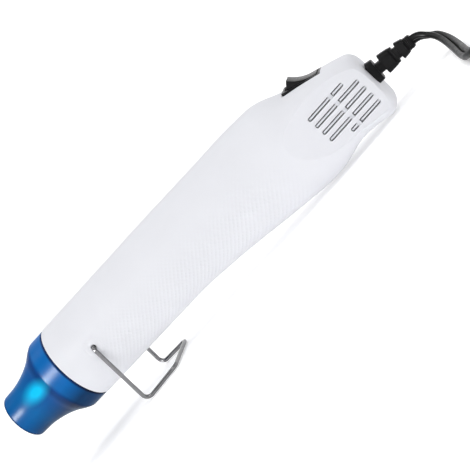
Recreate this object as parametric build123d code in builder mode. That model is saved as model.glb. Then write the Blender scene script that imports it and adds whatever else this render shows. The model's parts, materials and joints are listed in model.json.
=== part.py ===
from build123d import *
import math
import os

# Embossing heat tool: a slim hot-air gun with a wire stand, a rocker switch and a twin lead.
# It is drawn along its barrel, with x from the nozzle's mouth to the rear, z to the switch side
# and y across. Then it is tipped so that it stands on its wire foot and on its belly.

os.makedirs("parts", exist_ok=True)

# Fits and cuts
overrun = 4.0
face_gap = 0.12
seat_gap = 0.2
running_gap = 0.05
bend_share = 0.45

# Housing
tool_length = 235.0
barrel_radius = 21.25
nozzle_joint_x = 40.7
wall = 2.2
cheek_start_x = 190.0
cheek_start_inset = 0.25
cheek_angle = 10.2

# Sections of the housing, evenly spaced from the nozzle joint to the rear. Each gives the top,
# the belly, the half width and the height of the widest line, as shares of the barrel's radius,
# and the squareness of its outline. The barrel's own sections are round and all alike.
barrel_sections = 10
barrel_share = (1.000, 1.000, 1.000, 0.000, 2.00)
head_shares = [
    (1.000, 1.003, 1.000, 0.000, 2.00),
    (0.999, 1.022, 1.000, -0.007, 2.00),
    (0.995, 1.051, 1.000, -0.018, 2.00),
    (0.991, 1.082, 1.000, -0.032, 2.00),
    (0.987, 1.117, 1.000, -0.046, 2.00),
    (0.983, 1.158, 1.000, -0.064, 2.01),
    (0.981, 1.201, 1.000, -0.085, 2.03),
    (0.980, 1.246, 1.000, -0.108, 2.05),
    (0.979, 1.288, 1.000, -0.134, 2.07),
    (0.970, 1.328, 1.000, -0.164, 2.11),
    (0.952, 1.362, 1.000, -0.197, 2.16),
    (0.921, 1.395, 1.000, -0.235, 2.25),
    (0.810, 1.400, 0.994, -0.281, 2.42),
    (0.647, 1.363, 0.978, -0.331, 2.65),
    (0.552, 1.278, 0.959, -0.361, 2.83),
    (0.463, 1.232, 0.933, -0.382, 3.03),
    (0.370, 1.259, 0.891, -0.416, 3.10),
    (0.272, 1.329, 0.806, -0.482, 3.05),
    (0.193, 1.346, 0.690, -0.540, 2.80),
]
section_points = 20
rear_round = 5.5

# Vent slots in the cheeks
slot_width = 2.0
slot_pitch = 4.2
slot_top_z = -2.1
slot_front_x = 204.5
slot_rear_x = 231.3
slot_short_front_x = 213.6
slot_short_rear_x = 225.8
slot_count = 5
slot_rib_x = 218.2
slot_rib_width = 2.0
slot_rib_depth = 3.0
slot_rib_setback = 0.9

# Nozzle
collar_radius = 21.0
collar_length = 10.4
shoulder_radius = 18.1
shoulder_x = 24.6
waist_radius = 14.6
waist_x = 15.2
mouth_radius = 12.5
mouth_slope = 0.12
nozzle_wall = 1.7
spigot_length = 8.0
bead_height = 1.0
bead_width = 1.6
bead_x = 45.8

# Heater
tube_radius = 10.4
tube_wall = 0.5
tube_front_x = 1.2
tube_end_x = 76.0
outlet_depth = 15.0
stop_width = 0.7
stop_length = 1.0
mica_wall = 0.35
mica_front_x = 22.0
plate_front_x = 25.0
plate_length = 46.0
plate_half_width = 8.0
plate_thickness = 0.8
plate_tail = 14.0
coil_wire_radius = 0.35
coil_pitch = 5.0
coil_turns = 8
carrier_x = 69.0
carrier_length = 8.0
funnel_length = 10.0
funnel_wall = 1.6
cutout_length = 9.0
cutout_width = 6.0
cutout_height = 3.6

# Motor and fan
fan_x = 91.0
fan_length = 8.0
fan_radius = 17.6
fan_hub_radius = 5.0
fan_blades = 6
blade_thickness = 1.3
blade_root_chord = 8.0
blade_tip_chord = 9.0
blade_root_pitch = 35.0
blade_tip_pitch = 55.0
motor_x = 103.0
motor_radius = 12.0
motor_length = 28.0
motor_boss_radius = 3.2
motor_boss_length = 2.0
motor_rim = 1.0
end_cap_length = 4.5
shaft_radius = 1.15
cradle_length = 12.0
cradle_wall = 2.0
cradle_spoke = 3.0
cradle_spokes = 4
board_radius = 10.5
board_thickness = 1.6
board_hole_radius = 4.0
diode_radius = 1.3
diode_length = 5.0
diode_place = 7.2

# Screws, from the far side into bosses of the near half
screw_places = [(56.0, 15.0), (56.0, -15.0), (151.0, 13.0), (196.0, -21.5)]
boss_radius = 3.4
screw_radius = 1.3
screw_head_radius = 2.5
screw_head_height = 1.8
screw_reach = 6.0
screw_head_y = 7.0
screw_slot = 0.7

# Rocker switch
switch_x = 211.8
switch_z = 10.5
switch_slope = 16.0
bezel_length = 19.6
bezel_width = 15.0
bezel_rim = 1.3
bezel_rise = 0.5
bezel_corner = 1.2
switch_box_length = 17.6
switch_box_width = 13.0
switch_box_depth = 12.0
rocker_top_half = 6.8
rocker_tip = 5.2
rocker_dip = 3.9
rocker_base_half = 7.9
rocker_base = 1.5
rocker_half_width = 5.2
rocker_pivot_depth = 2.5
rocker_throw = 15.0
rocker_pin_radius = 0.9
rocker_pin_length = 0.8
rocker_room = 0.35
terminal_width = 4.8
terminal_thickness = 0.8
terminal_length = 7.0
terminal_spacing = 7.0

# Strain relief
relief_z = -10.2
relief_droop = 6.8
relief_length = 22.8
relief_base_height = 11.2
relief_base_width = 9.0
relief_tip_height = 6.6
relief_tip_width = 6.6
relief_neck_height = 8.0
relief_neck_width = 6.4
relief_flange_height = 11.0
relief_flange_width = 9.0
relief_flange_length = 2.0
relief_corner = 1.2
relief_notch_width = 1.9
relief_notch_depth = 2.7
relief_notch_place = 4.1
relief_groove_width = 1.7
relief_groove_depth = 1.3
relief_groove_places = (14.2, 19.6)

# Wire stand
wire_radius = 1.0
pivot_x = 60.2
stand_half_width = 22.7
foot_x = 58.2
foot_drop = 34.6
toe_x = 77.4
toe_half_width = 16.35
stand_bend = 3.2
pivot_bend = 1.9
stand_inner_half = 17.2
pivot_boss_radius = 4.8
pivot_boss_rise = 0.2
pivot_boss_depth = 3.6
pivot_dish_radius = 1.5
pivot_dish_depth = 1.3

# Lead, where the tool stands: x from the strain relief's tip, y across, z above the ground
lead_diameter = 5.8
lead_start = 3.6
lead_route = [
    (6.8, -1.7, 12.6),
    (9.2, -5.8, 10.7),
    (11.0, -12.6, 8.0),
    (12.4, -22.6, 5.4),
    (13.8, -37.0, 3.6),
    (15.6, -57.0, 3.0),
    (19.6, -75.0, 3.0),
    (28.6, -90.6, 3.0),
    (42.4, -102.2, 3.0),
]
coil_centre_x = 76.7
coil_centre_y = -67.1
coil_outer = 44.0
coil_height = 3.0
coil_gap = 0.5
coil_start_angle = 252.0
coil_half_turns = 6
coil_upper_steps = 2
climb_share = 1.22
coil_tail = 36.0
coil_samples = 900

# Plug
plug_length = 27.0
plug_width = 24.0
plug_neck_length = 9.0
plug_neck_radius = 4.6
plug_nose_share = 0.62
plug_shoulder_share = 0.55
plug_round = 2.4
pin_width = 6.35
pin_thickness = 1.5
pin_length = 17.0
pin_spacing = 12.7
pin_root = 4.0
pin_hole_radius = 1.6
pin_hole_from_tip = 4.0

# Steps in which the tool is tipped until its belly meets the ground, and their lever arm
tip_steps = 6
tip_lever = 150.0

# Sizes that follow from the ones above
housing_length = tool_length - nozzle_joint_x
cavity_radius = barrel_radius - wall
spigot_radius = cavity_radius - seat_gap
section_shares = [barrel_share] * barrel_sections + head_shares
section_step = housing_length / (len(section_shares) - 1)
switch_plane = Plane(
    origin=(switch_x, 0, switch_z),
    x_dir=(math.cos(math.radians(switch_slope)), 0, -math.sin(math.radians(switch_slope))),
    z_dir=(math.sin(math.radians(switch_slope)), 0, math.cos(math.radians(switch_slope))),
)


def station(x):
    """The plane across the barrel at x, with its own x to the far side and its y up."""
    return Plane(origin=(x, 0, 0), x_dir=(0, 1, 0), z_dir=(1, 0, 0))


def outline_points(share, inset):
    """Points of one section of the housing, a squared oval that is drawn in by inset."""
    top_share, bottom_share, width_share, middle_share, squareness = share
    middle = barrel_radius * middle_share
    top = barrel_radius * top_share - middle - inset
    bottom = barrel_radius * bottom_share + middle - inset
    half_width = barrel_radius * width_share - inset
    points = []
    for step in range(section_points):
        angle = 2 * math.pi * step / section_points
        across = abs(math.cos(angle)) ** (2 / squareness)
        up = abs(math.sin(angle)) ** (2 / squareness)
        height = top if math.sin(angle) > 0 else -bottom
        points.append((half_width * math.copysign(across, math.cos(angle)), middle + height * up))
    return points


def housing_form(inset, front_x, rear_x):
    """A closed form through the sections, drawn in by inset, with its own front and rear end."""
    last = len(section_shares) - 1
    with BuildPart() as form:
        for number, share in enumerate(section_shares):
            x = nozzle_joint_x + section_step * number
            if number == 0:
                x = front_x
            if number == last:
                x = rear_x
            with BuildSketch(station(x)):
                with BuildLine():
                    Spline(*outline_points(share, inset), periodic=True)
                make_face()
        loft()
    return form.part


# The outer form of the whole housing, with its rear edge rounded, and the hollow inside it
with BuildPart() as skin:
    add(housing_form(0, nozzle_joint_x, tool_length))
    fillet(skin.edges().group_by(Axis.X)[-1], radius=rear_round)

# The angle at which the wire foot and the belly both touch the ground
tip_angle = 0
for step in range(tip_steps):
    turn = math.radians(tip_angle)
    foot_depth = foot_x * math.sin(turn) + foot_drop * math.cos(turn) + wire_radius
    belly_depth = -(Rotation(0, tip_angle, 0) * skin.part).bounding_box().min.Z
    tip_angle += math.degrees((foot_depth - belly_depth) / tip_lever)
toe_drop = foot_drop - (toe_x - foot_x) * math.tan(math.radians(tip_angle))
print("tip angle", round(tip_angle, 3), "foot", round(foot_depth, 2), "belly", round(belly_depth, 2))

with BuildPart() as hollow:
    add(housing_form(wall, nozzle_joint_x - seat_gap, tool_length - wall))


def cheek_plane(side):
    """The slanted plane of a cheek, with its normal pointing out of the housing."""
    lean = math.radians(cheek_angle)
    return Plane(
        origin=(cheek_start_x, side * (barrel_radius - cheek_start_inset), 0),
        x_dir=(math.cos(lean), -side * math.sin(lean), 0),
        z_dir=(math.sin(lean), side * math.cos(lean), 0),
    )


def cheek_local(plane, x, z):
    """A place on the cheek, from its x along the tool and its height."""
    return ((x - plane.origin.X) / plane.x_dir.X, z * plane.y_dir.Z)


def cheek_slots():
    """Front and rear end and height of each vent slot."""
    slots = []
    for number in range(slot_count):
        front = slot_short_front_x if number == slot_count - 1 else slot_front_x
        rear = slot_short_rear_x if number == 0 else slot_rear_x
        slots.append((front, rear, slot_top_z - slot_pitch * number))
    return slots


def across_plane(side, depth):
    """The plane at the given distance from the middle, on the near (-1) or the far side (1)."""
    return Plane.XZ.offset(-side * depth)


def housing_half(side):
    """One shell of the housing. Its side is -1 for the near one and 1 for the far one."""
    outward = -side
    plane = cheek_plane(side)
    head_length = tool_length - cheek_start_x
    rib_middle = slot_top_z - slot_pitch * (slot_count - 1) / 2

    # The room inside: the hollow without the screw bosses, the pivot boss and the cheek's wall
    with BuildPart() as room:
        add(hollow.part)
        split(bisect_by=Plane.XZ, keep=Keep.TOP if side < 0 else Keep.BOTTOM)
        with BuildSketch(Plane.XZ):
            with Locations(screw_places):
                Circle(boss_radius)
        extrude(amount=outward * barrel_radius, mode=Mode.SUBTRACT)
        with BuildSketch(across_plane(side, barrel_radius - pivot_boss_depth)):
            with Locations((pivot_x, 0)):
                Circle(pivot_boss_radius)
        extrude(amount=outward * pivot_boss_depth, mode=Mode.SUBTRACT)
        with BuildSketch(plane.offset(-wall)):
            Rectangle(head_length * 4, barrel_radius * 4)
        extrude(amount=barrel_radius, mode=Mode.SUBTRACT)

    with BuildPart() as half:
        add(skin.part)
        split(bisect_by=Plane.XZ, keep=Keep.TOP if side < 0 else Keep.BOTTOM)
        add(room.part, mode=Mode.SUBTRACT)

        # The flat of the cheek, its vent slots and the set-back rib that crosses behind them
        with BuildSketch(plane):
            Rectangle(head_length * 4, barrel_radius * 4)
        extrude(amount=barrel_radius, mode=Mode.SUBTRACT)
        with BuildSketch(plane.offset(overrun)):
            for front, rear, z in cheek_slots():
                with Locations(cheek_local(plane, (front + rear) / 2, z)):
                    SlotOverall((rear - front) / plane.x_dir.X, slot_width)
        extrude(amount=-(overrun + wall + slot_rib_depth), mode=Mode.SUBTRACT)
        with BuildSketch(plane.offset(-slot_rib_setback)):
            with Locations(cheek_local(plane, slot_rib_x, rib_middle)):
                Rectangle(slot_rib_width, slot_pitch * slot_count)
        extrude(amount=-slot_rib_depth)

        # The raised ring round the pivot, with a running bore and a dish at its mouth
        with BuildSketch(across_plane(side, barrel_radius - pivot_boss_depth)):
            with Locations((pivot_x, 0)):
                Circle(pivot_boss_radius)
        extrude(amount=outward * (pivot_boss_depth + pivot_boss_rise))
        with BuildSketch(across_plane(side, stand_inner_half - overrun)):
            with Locations((pivot_x, 0)):
                Circle(wire_radius + running_gap)
        extrude(amount=outward * (overrun + barrel_radius), mode=Mode.SUBTRACT)
        with BuildSketch(across_plane(side, barrel_radius + pivot_boss_rise - pivot_dish_depth)):
            with Locations((pivot_x, 0)):
                Circle(pivot_dish_radius)
        extrude(amount=outward * overrun, mode=Mode.SUBTRACT)

        # Groove for the nozzle's bead, and the seats of the switch and the strain relief
        with BuildSketch(station(bead_x - seat_gap)):
            Circle(cavity_radius + bead_height)
        extrude(amount=bead_width + seat_gap * 2, mode=Mode.SUBTRACT)
        with BuildSketch(switch_plane.offset(bezel_rise - bezel_rim)):
            Rectangle(bezel_length + seat_gap * 2, bezel_width + seat_gap * 2)
        extrude(amount=overrun, mode=Mode.SUBTRACT)
        with BuildSketch(switch_plane.offset(overrun)):
            Rectangle(switch_box_length + seat_gap * 2, switch_box_width + seat_gap * 2)
        extrude(amount=-(overrun + switch_box_depth), mode=Mode.SUBTRACT)
        with BuildSketch(station(tool_length + overrun)):
            with Locations((0, relief_z)):
                Rectangle(relief_neck_width + seat_gap, relief_neck_height + seat_gap)
        extrude(amount=-(overrun * 2 + wall), mode=Mode.SUBTRACT)

        # Screw holes: a pilot in the near half, a clear hole and a pocket for the head in the far
        with BuildSketch(Plane.XZ.offset(screw_reach + seat_gap)):
            with Locations(screw_places):
                Circle(screw_radius + running_gap)
        extrude(amount=-(screw_reach + seat_gap + barrel_radius), mode=Mode.SUBTRACT)
        with BuildSketch(Plane.XZ.offset(-screw_head_y)):
            with Locations(screw_places):
                Circle(screw_head_radius + seat_gap)
        extrude(amount=-barrel_radius, mode=Mode.SUBTRACT)
    return half


housing_left = housing_half(-1)
housing_right = housing_half(1)


# Nozzle: a collar that meets the barrel, a rounded shoulder and a concave taper to the mouth,
# with a spigot inside the barrel and a bead that the two halves trap
def nozzle_profile(inset):
    """Curve of the nozzle's outside from the collar to the mouth, drawn in by inset."""
    return [
        (nozzle_joint_x - collar_length, collar_radius - inset),
        (shoulder_x, shoulder_radius - inset),
        (waist_x, waist_radius - inset),
        (0, mouth_radius - inset),
    ]


with BuildPart() as nozzle:
    with BuildSketch(Plane.XZ):
        with BuildLine():
            outer = nozzle_profile(0)
            inner = nozzle_profile(nozzle_wall)
            Polyline(
                outer[0],
                (nozzle_joint_x - face_gap, collar_radius),
                (nozzle_joint_x - face_gap, spigot_radius),
                (bead_x, spigot_radius),
                (bead_x, spigot_radius + bead_height),
                (bead_x + bead_width, spigot_radius + bead_height),
                (bead_x + bead_width, spigot_radius),
                (nozzle_joint_x + spigot_length, spigot_radius),
                (nozzle_joint_x + spigot_length, spigot_radius - nozzle_wall),
                (nozzle_joint_x - collar_length, spigot_radius - nozzle_wall),
            )
            Spline(
                (nozzle_joint_x - collar_length, spigot_radius - nozzle_wall),
                *inner[1:],
                tangents=((-1, -1), (-1, -mouth_slope)),
            )
            Line(inner[-1], outer[-1])
            Spline(*reversed(outer), tangents=((1, mouth_slope), (1, 0)))
        make_face()
    revolve(axis=Axis.X)

# Outlet tube, with a rolled stop inside its mouth
with BuildPart() as heat_tube:
    with BuildSketch(station(tube_front_x)):
        Circle(tube_radius)
        Circle(tube_radius - tube_wall, mode=Mode.SUBTRACT)
    extrude(amount=tube_end_x - tube_front_x)
    with BuildSketch(station(tube_front_x + outlet_depth)):
        Circle(tube_radius - tube_wall)
        Circle(tube_radius - tube_wall - stop_width, mode=Mode.SUBTRACT)
    extrude(amount=stop_length)

# Mica lining of the tube
mica_outer = tube_radius - tube_wall - face_gap
with BuildPart() as mica_sleeve:
    with BuildSketch(station(mica_front_x)):
        Circle(mica_outer)
        Circle(mica_outer - mica_wall, mode=Mode.SUBTRACT)
    extrude(amount=tube_end_x - mica_front_x)

# Two mica plates, half lapped into a cross, and the heating coil wound round them
with BuildPart() as mica_plate_flat:
    with BuildSketch(Plane.XY.offset(-plate_thickness / 2)):
        with Locations((plate_front_x + plate_length / 2, 0)):
            Rectangle(plate_length, plate_half_width * 2)
        with Locations((plate_front_x + plate_length + plate_tail / 2, 0)):
            Rectangle(plate_tail, plate_half_width)
        with Locations((plate_front_x + plate_length / 4, 0)):
            Rectangle(plate_length / 2, plate_thickness + face_gap, mode=Mode.SUBTRACT)
    extrude(amount=plate_thickness)

with BuildPart() as mica_plate_upright:
    with BuildSketch(Plane.XZ.offset(-plate_thickness / 2)):
        with Locations((plate_front_x + plate_length / 2, 0)):
            Rectangle(plate_length, plate_half_width * 2)
        with Locations((plate_front_x + plate_length * 3 / 4 - face_gap / 2, 0)):
            Rectangle(plate_length / 2 + face_gap, plate_thickness + face_gap, mode=Mode.SUBTRACT)
    extrude(amount=plate_thickness)

winding_radius = plate_half_width + face_gap + coil_wire_radius
winding_start = plate_front_x + (plate_length - coil_pitch * coil_turns) / 2
with BuildPart() as heating_coil:
    with BuildLine() as winding:
        Helix(
            pitch=coil_pitch,
            height=coil_pitch * coil_turns,
            radius=winding_radius,
            center=(winding_start, 0, 0),
            direction=(1, 0, 0),
        )
    with BuildSketch(Plane(origin=winding.line @ 0, z_dir=winding.line % 0)):
        Circle(coil_wire_radius)
    sweep(is_frenet=True)

with BuildPart() as thermal_cutout:
    with BuildSketch(Plane.XY.offset(plate_thickness / 2 + face_gap)):
        with Locations((plate_front_x + plate_length + plate_tail - cutout_length / 2, 0)):
            Rectangle(cutout_length, cutout_width)
    extrude(amount=cutout_height)
    fillet(thermal_cutout.edges().filter_by(Axis.X), radius=cutout_height / 4)

# Carrier and funnel: holds the rear of the tube and leads the fan's air into it
with BuildPart() as heater_carrier:
    with BuildSketch(Plane.XZ):
        with BuildLine():
            bore = tube_radius + face_gap
            throat_x = carrier_x + carrier_length
            rim_x = throat_x + funnel_length
            Polyline(
                (carrier_x, bore),
                (throat_x, bore),
                (rim_x, spigot_radius - funnel_wall),
                (rim_x + funnel_wall, spigot_radius - funnel_wall),
                (rim_x + funnel_wall, spigot_radius),
                (rim_x - funnel_wall, spigot_radius),
                (throat_x - funnel_wall, bore + funnel_wall),
                (carrier_x, bore + funnel_wall),
                close=True,
            )
        make_face()
    revolve(axis=Axis.X)

# Motor: can, end cap, shaft and the cradle that holds the can in the barrel
bearing_radius = shaft_radius + running_gap
motor_end_x = motor_x + motor_length
cap_end_x = motor_end_x + end_cap_length
with BuildPart() as motor_can:
    with BuildSketch(station(motor_x)):
        Circle(motor_radius)
    extrude(amount=motor_length)
    fillet(motor_can.edges().group_by(Axis.X)[0], radius=motor_rim)
    with BuildSketch(station(motor_x - motor_boss_length)):
        Circle(motor_boss_radius)
    extrude(amount=motor_boss_length)
    with BuildSketch(station(motor_x - motor_boss_length)):
        Circle(bearing_radius)
    extrude(amount=motor_boss_length + motor_length, mode=Mode.SUBTRACT)

with BuildPart() as motor_end_cap:
    with BuildSketch(station(motor_end_x)):
        Circle(motor_radius - motor_rim)
    extrude(amount=end_cap_length)
    fillet(motor_end_cap.edges().group_by(Axis.X)[-1], radius=motor_rim)
    with BuildSketch(station(motor_end_x)):
        Circle(bearing_radius)
    extrude(amount=end_cap_length, mode=Mode.SUBTRACT)

with BuildPart() as motor_shaft:
    with BuildSketch(station(fan_x)):
        Circle(shaft_radius)
    extrude(amount=cap_end_x + board_thickness - fan_x)
    chamfer(motor_shaft.edges().filter_by(GeomType.CIRCLE), length=shaft_radius / 4)

cradle_x = motor_x + (motor_length - cradle_length) / 2
cradle_outer = motor_radius + face_gap + cradle_wall
with BuildPart() as motor_cradle:
    with BuildSketch(station(cradle_x)):
        Circle(cradle_outer)
        with PolarLocations((cradle_outer + spigot_radius) / 2 - cradle_wall / 2, cradle_spokes):
            Rectangle(spigot_radius - cradle_outer + cradle_wall, cradle_spoke)
        Circle(motor_radius + face_gap, mode=Mode.SUBTRACT)
    extrude(amount=cradle_length)


def blade_plane(angle, radius, pitch):
    """A plane square to the radius at this angle round the barrel, turned by the blade's pitch."""
    turn = math.radians(angle)
    lean = math.radians(pitch)
    radial = (0, math.sin(turn), math.cos(turn))
    return Plane(
        origin=(fan_x + fan_length / 2, radius * radial[1], radius * radial[2]),
        x_dir=(math.cos(lean), math.sin(lean) * math.cos(turn), -math.sin(lean) * math.sin(turn)),
        z_dir=radial,
    )


# Axial fan: a domed hub with twisted blades
with BuildPart() as fan:
    with BuildSketch(station(fan_x)):
        Circle(fan_hub_radius)
    extrude(amount=fan_length)
    fillet(fan.edges().group_by(Axis.X)[0], radius=fan_hub_radius / 3)
    for number in range(fan_blades):
        angle = 360 / fan_blades * number
        with BuildSketch(blade_plane(angle, fan_hub_radius - blade_thickness, blade_root_pitch)):
            Rectangle(blade_root_chord, blade_thickness)
        with BuildSketch(blade_plane(angle, fan_radius, blade_tip_pitch)):
            Rectangle(blade_tip_chord, blade_thickness)
        loft(ruled=True)
    with BuildSketch(station(fan_x)):
        Circle(bearing_radius)
    extrude(amount=fan_length, mode=Mode.SUBTRACT)

# Rectifier board on the rear of the motor, with its four diodes
board_x = cap_end_x + face_gap
with BuildPart() as rectifier_board:
    with BuildSketch(station(board_x)):
        Circle(board_radius)
        Circle(board_hole_radius, mode=Mode.SUBTRACT)
    extrude(amount=board_thickness)

with BuildPart() as rectifier_diodes:
    with BuildSketch(Plane.XY.offset(-diode_length / 2)):
        with Locations((board_x + board_thickness + face_gap + diode_radius, 0)):
            with Locations((0, -diode_place), (0, diode_place)):
                Circle(diode_radius)
    extrude(amount=diode_length)
    with BuildSketch(Plane.XZ.offset(-diode_length / 2)):
        with Locations((board_x + board_thickness + face_gap + diode_radius, 0)):
            with Locations((0, -diode_place), (0, diode_place)):
                Circle(diode_radius)
    extrude(amount=diode_length)

# Screws that hold the two halves together
with BuildPart() as housing_screws:
    with BuildSketch(Plane.XZ.offset(screw_reach)):
        with Locations(screw_places):
            Circle(screw_radius)
    extrude(amount=-(screw_reach + screw_head_y + seat_gap))
    with BuildSketch(Plane.XZ.offset(-(screw_head_y + seat_gap))):
        with Locations(screw_places):
            Circle(screw_head_radius)
    extrude(amount=-screw_head_height)
    with BuildSketch(Plane.XZ.offset(-(screw_head_y + seat_gap + screw_head_height))):
        with Locations(screw_places):
            Rectangle(screw_head_radius * 2, screw_slot)
            Rectangle(screw_slot, screw_head_radius * 2)
    extrude(amount=screw_head_height / 3, mode=Mode.SUBTRACT)

# Rocker switch: a bezel on a box with a pocket, and the rocker that tips on two pins in it
pivot_height = -rocker_pivot_depth
pocket_depth = math.hypot(rocker_base_half, rocker_base) * math.sin(
    math.radians(rocker_throw) + math.atan2(rocker_base, rocker_base_half)
)
opening_length = (math.hypot(rocker_base_half, rocker_base) + rocker_room) * 2
opening_width = (rocker_half_width + rocker_room) * 2
pocket_floor = pivot_height - pocket_depth - rocker_room
switch_side = Plane(origin=switch_plane.origin, x_dir=switch_plane.x_dir, z_dir=(0, -1, 0))
with BuildPart() as switch_body:
    with BuildSketch(switch_plane.offset(-switch_box_depth)):
        Rectangle(switch_box_length, switch_box_width)
    extrude(amount=switch_box_depth + bezel_rise - bezel_rim)
    with BuildSketch(switch_plane.offset(bezel_rise - bezel_rim)):
        RectangleRounded(bezel_length, bezel_width, bezel_corner)
    extrude(amount=bezel_rim)
    chamfer(switch_body.faces().sort_by(SortBy.DISTANCE)[-1].edges(), length=bezel_rise / 2)
    with BuildSketch(switch_plane.offset(pocket_floor)):
        Rectangle(opening_length, opening_width)
    extrude(amount=bezel_rise - pocket_floor, mode=Mode.SUBTRACT)
    with BuildSketch(switch_side.offset(switch_box_width / 2)):
        with Locations((0, pivot_height)):
            Circle(rocker_pin_radius + running_gap)
    extrude(amount=-switch_box_width, mode=Mode.SUBTRACT)

rocker_side = Plane(
    origin=switch_plane.from_local_coords((0, 0, pivot_height)),
    x_dir=switch_plane.x_dir.rotate(Axis.Y, rocker_throw),
    z_dir=(0, -1, 0),
)
with BuildPart() as switch_rocker:
    with BuildSketch(rocker_side.offset(-rocker_half_width)):
        with BuildLine():
            Polyline(
                (-rocker_top_half, rocker_tip),
                (-rocker_base_half, 0),
                (-rocker_base_half, -rocker_base),
                (rocker_base_half, -rocker_base),
                (rocker_base_half, 0),
                (rocker_top_half, rocker_tip),
            )
            ThreePointArc(
                (rocker_top_half, rocker_tip), (0, rocker_dip), (-rocker_top_half, rocker_tip)
            )
        make_face()
    extrude(amount=rocker_half_width * 2)
    with BuildSketch(rocker_side.offset(-(rocker_half_width + rocker_pin_length))):
        Circle(rocker_pin_radius)
    extrude(amount=(rocker_half_width + rocker_pin_length) * 2)

with BuildPart() as switch_terminals:
    with BuildSketch(switch_plane.offset(-switch_box_depth)):
        with GridLocations(terminal_spacing, 0, 2, 1):
            Rectangle(terminal_thickness, terminal_width)
    extrude(amount=-terminal_length)

# Strain relief: flange inside the rear wall, neck through it, then a notched, drooping tail
relief_plane = Plane(
    origin=(tool_length, 0, relief_z),
    x_dir=(0, 1, 0),
    z_dir=(math.cos(math.radians(relief_droop)), 0, -math.sin(math.radians(relief_droop))),
)
with BuildPart() as strain_relief:
    with BuildSketch(relief_plane.offset(-wall)):
        RectangleRounded(relief_base_width, relief_base_height, relief_corner)
    with BuildSketch(relief_plane.offset(relief_length)):
        RectangleRounded(relief_tip_width, relief_tip_height, relief_corner)
    loft(ruled=True)
    with BuildSketch(relief_plane.offset(relief_notch_place)):
        with GridLocations(0, relief_base_height, 1, 2):
            Rectangle(relief_base_width * 2, relief_notch_depth * 2)
    extrude(amount=relief_notch_width, mode=Mode.SUBTRACT)
    for place in relief_groove_places:
        taper = place / relief_length
        width = relief_base_width + (relief_tip_width - relief_base_width) * taper
        with BuildSketch(relief_plane.offset(place)):
            with GridLocations(width, 0, 2, 1):
                Rectangle(relief_groove_depth * 2, relief_base_height)
        extrude(amount=relief_groove_width, mode=Mode.SUBTRACT)
    with BuildSketch(station(tool_length + face_gap)):
        Rectangle(barrel_radius * 4, barrel_radius * 4)
    extrude(amount=-(overrun * 2), mode=Mode.SUBTRACT)
    with BuildSketch(station(tool_length - wall - seat_gap - relief_flange_length)):
        with Locations((0, relief_z)):
            Rectangle(relief_flange_width, relief_flange_height)
    extrude(amount=relief_flange_length)
    with BuildSketch(station(tool_length - wall - seat_gap)):
        with Locations((0, relief_z)):
            Rectangle(relief_neck_width, relief_neck_height)
    extrude(amount=wall + seat_gap + face_gap)

# Wire stand: one wire from pivot to pivot, down both legs, back along the feet and across
with BuildPart() as stand_wire:
    corners = [
        (pivot_x, -stand_inner_half, 0),
        (pivot_x, -stand_half_width, 0),
        (foot_x, -stand_half_width, -foot_drop),
        (toe_x, -toe_half_width, -toe_drop),
    ]
    corners += [(x, -y, z) for x, y, z in reversed(corners)]
    bends = [pivot_bend, stand_bend, stand_bend]
    with BuildLine() as stand_line:
        FilletPolyline(*corners, radius=bends + bends[::-1])
    with BuildSketch(Plane(origin=stand_line.line @ 0, z_dir=stand_line.line % 0)):
        Circle(wire_radius)
    sweep()


# Where the pieces stand: tipped about the cross axis, with the middle of the tool's ground
# plan at the origin and the ground at its lowest point
tool_pieces = {
    "housing_left": housing_left,
    "housing_right": housing_right,
    "nozzle": nozzle,
    "heat_tube": heat_tube,
    "mica_sleeve": mica_sleeve,
    "mica_plate_flat": mica_plate_flat,
    "mica_plate_upright": mica_plate_upright,
    "heating_coil": heating_coil,
    "thermal_cutout": thermal_cutout,
    "heater_carrier": heater_carrier,
    "motor_can": motor_can,
    "motor_end_cap": motor_end_cap,
    "motor_cradle": motor_cradle,
    "motor_shaft": motor_shaft,
    "fan": fan,
    "rectifier_board": rectifier_board,
    "rectifier_diodes": rectifier_diodes,
    "housing_screws": housing_screws,
    "switch_body": switch_body,
    "switch_rocker": switch_rocker,
    "switch_terminals": switch_terminals,
    "strain_relief": strain_relief,
    "stand_wire": stand_wire,
}
tipped = Rotation(0, tip_angle, 0)
outer_names = ("housing_left", "nozzle", "strain_relief", "stand_wire")
outer_boxes = [(tipped * tool_pieces[name].part).bounding_box() for name in outer_names]
rear_end = max(box.max.X for box in outer_boxes)
front_end = min(box.min.X for box in outer_boxes)
ground = min(box.min.Z for box in outer_boxes)
standing = Location((-(rear_end + front_end) / 2, 0, -ground)) * tipped


def write(piece, name):
    """Label a finished piece and write it under its name."""
    piece.label = name
    export_step(piece, f"parts/{name}.step")


for name, piece in tool_pieces.items():
    write(standing * piece.part, name)

# Lead: out of the strain relief, down to the ground and round to the coil
exit_point = (standing * Location(relief_plane.from_local_coords((0, 0, relief_length)))).position
exit_turn = math.radians(relief_droop + tip_angle)
exit_direction = Vector(math.cos(exit_turn), 0, -math.sin(exit_turn))


def coil_place(turned, radius, height):
    """A place on the coil and the heading there, from the angle turned since its start."""
    angle = math.radians(coil_start_angle + turned)
    centre = Vector(exit_point.X + coil_centre_x, coil_centre_y, height)
    outward = Vector(math.cos(angle), math.sin(angle), 0)
    return centre + outward * radius, Vector(-math.sin(angle), math.cos(angle), 0)


coil_start, start_heading = coil_place(0, coil_outer, coil_height)
lead_end = coil_start - start_heading * lead_diameter
lead_points = [exit_point, exit_point + exit_direction * lead_start]
lead_points += [Vector(exit_point.X + x, y, z) for x, y, z in lead_route]
lead_points += [lead_end]
lead_radii = []
for before, corner, after in zip(lead_points, lead_points[1:], lead_points[2:]):
    run_in = corner - before
    run_out = after - corner
    turn = math.radians(run_in.get_angle(run_out))
    shorter = min(run_in.length, run_out.length)
    lead_radii.append(bend_share * shorter / math.tan(turn / 2))

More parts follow.
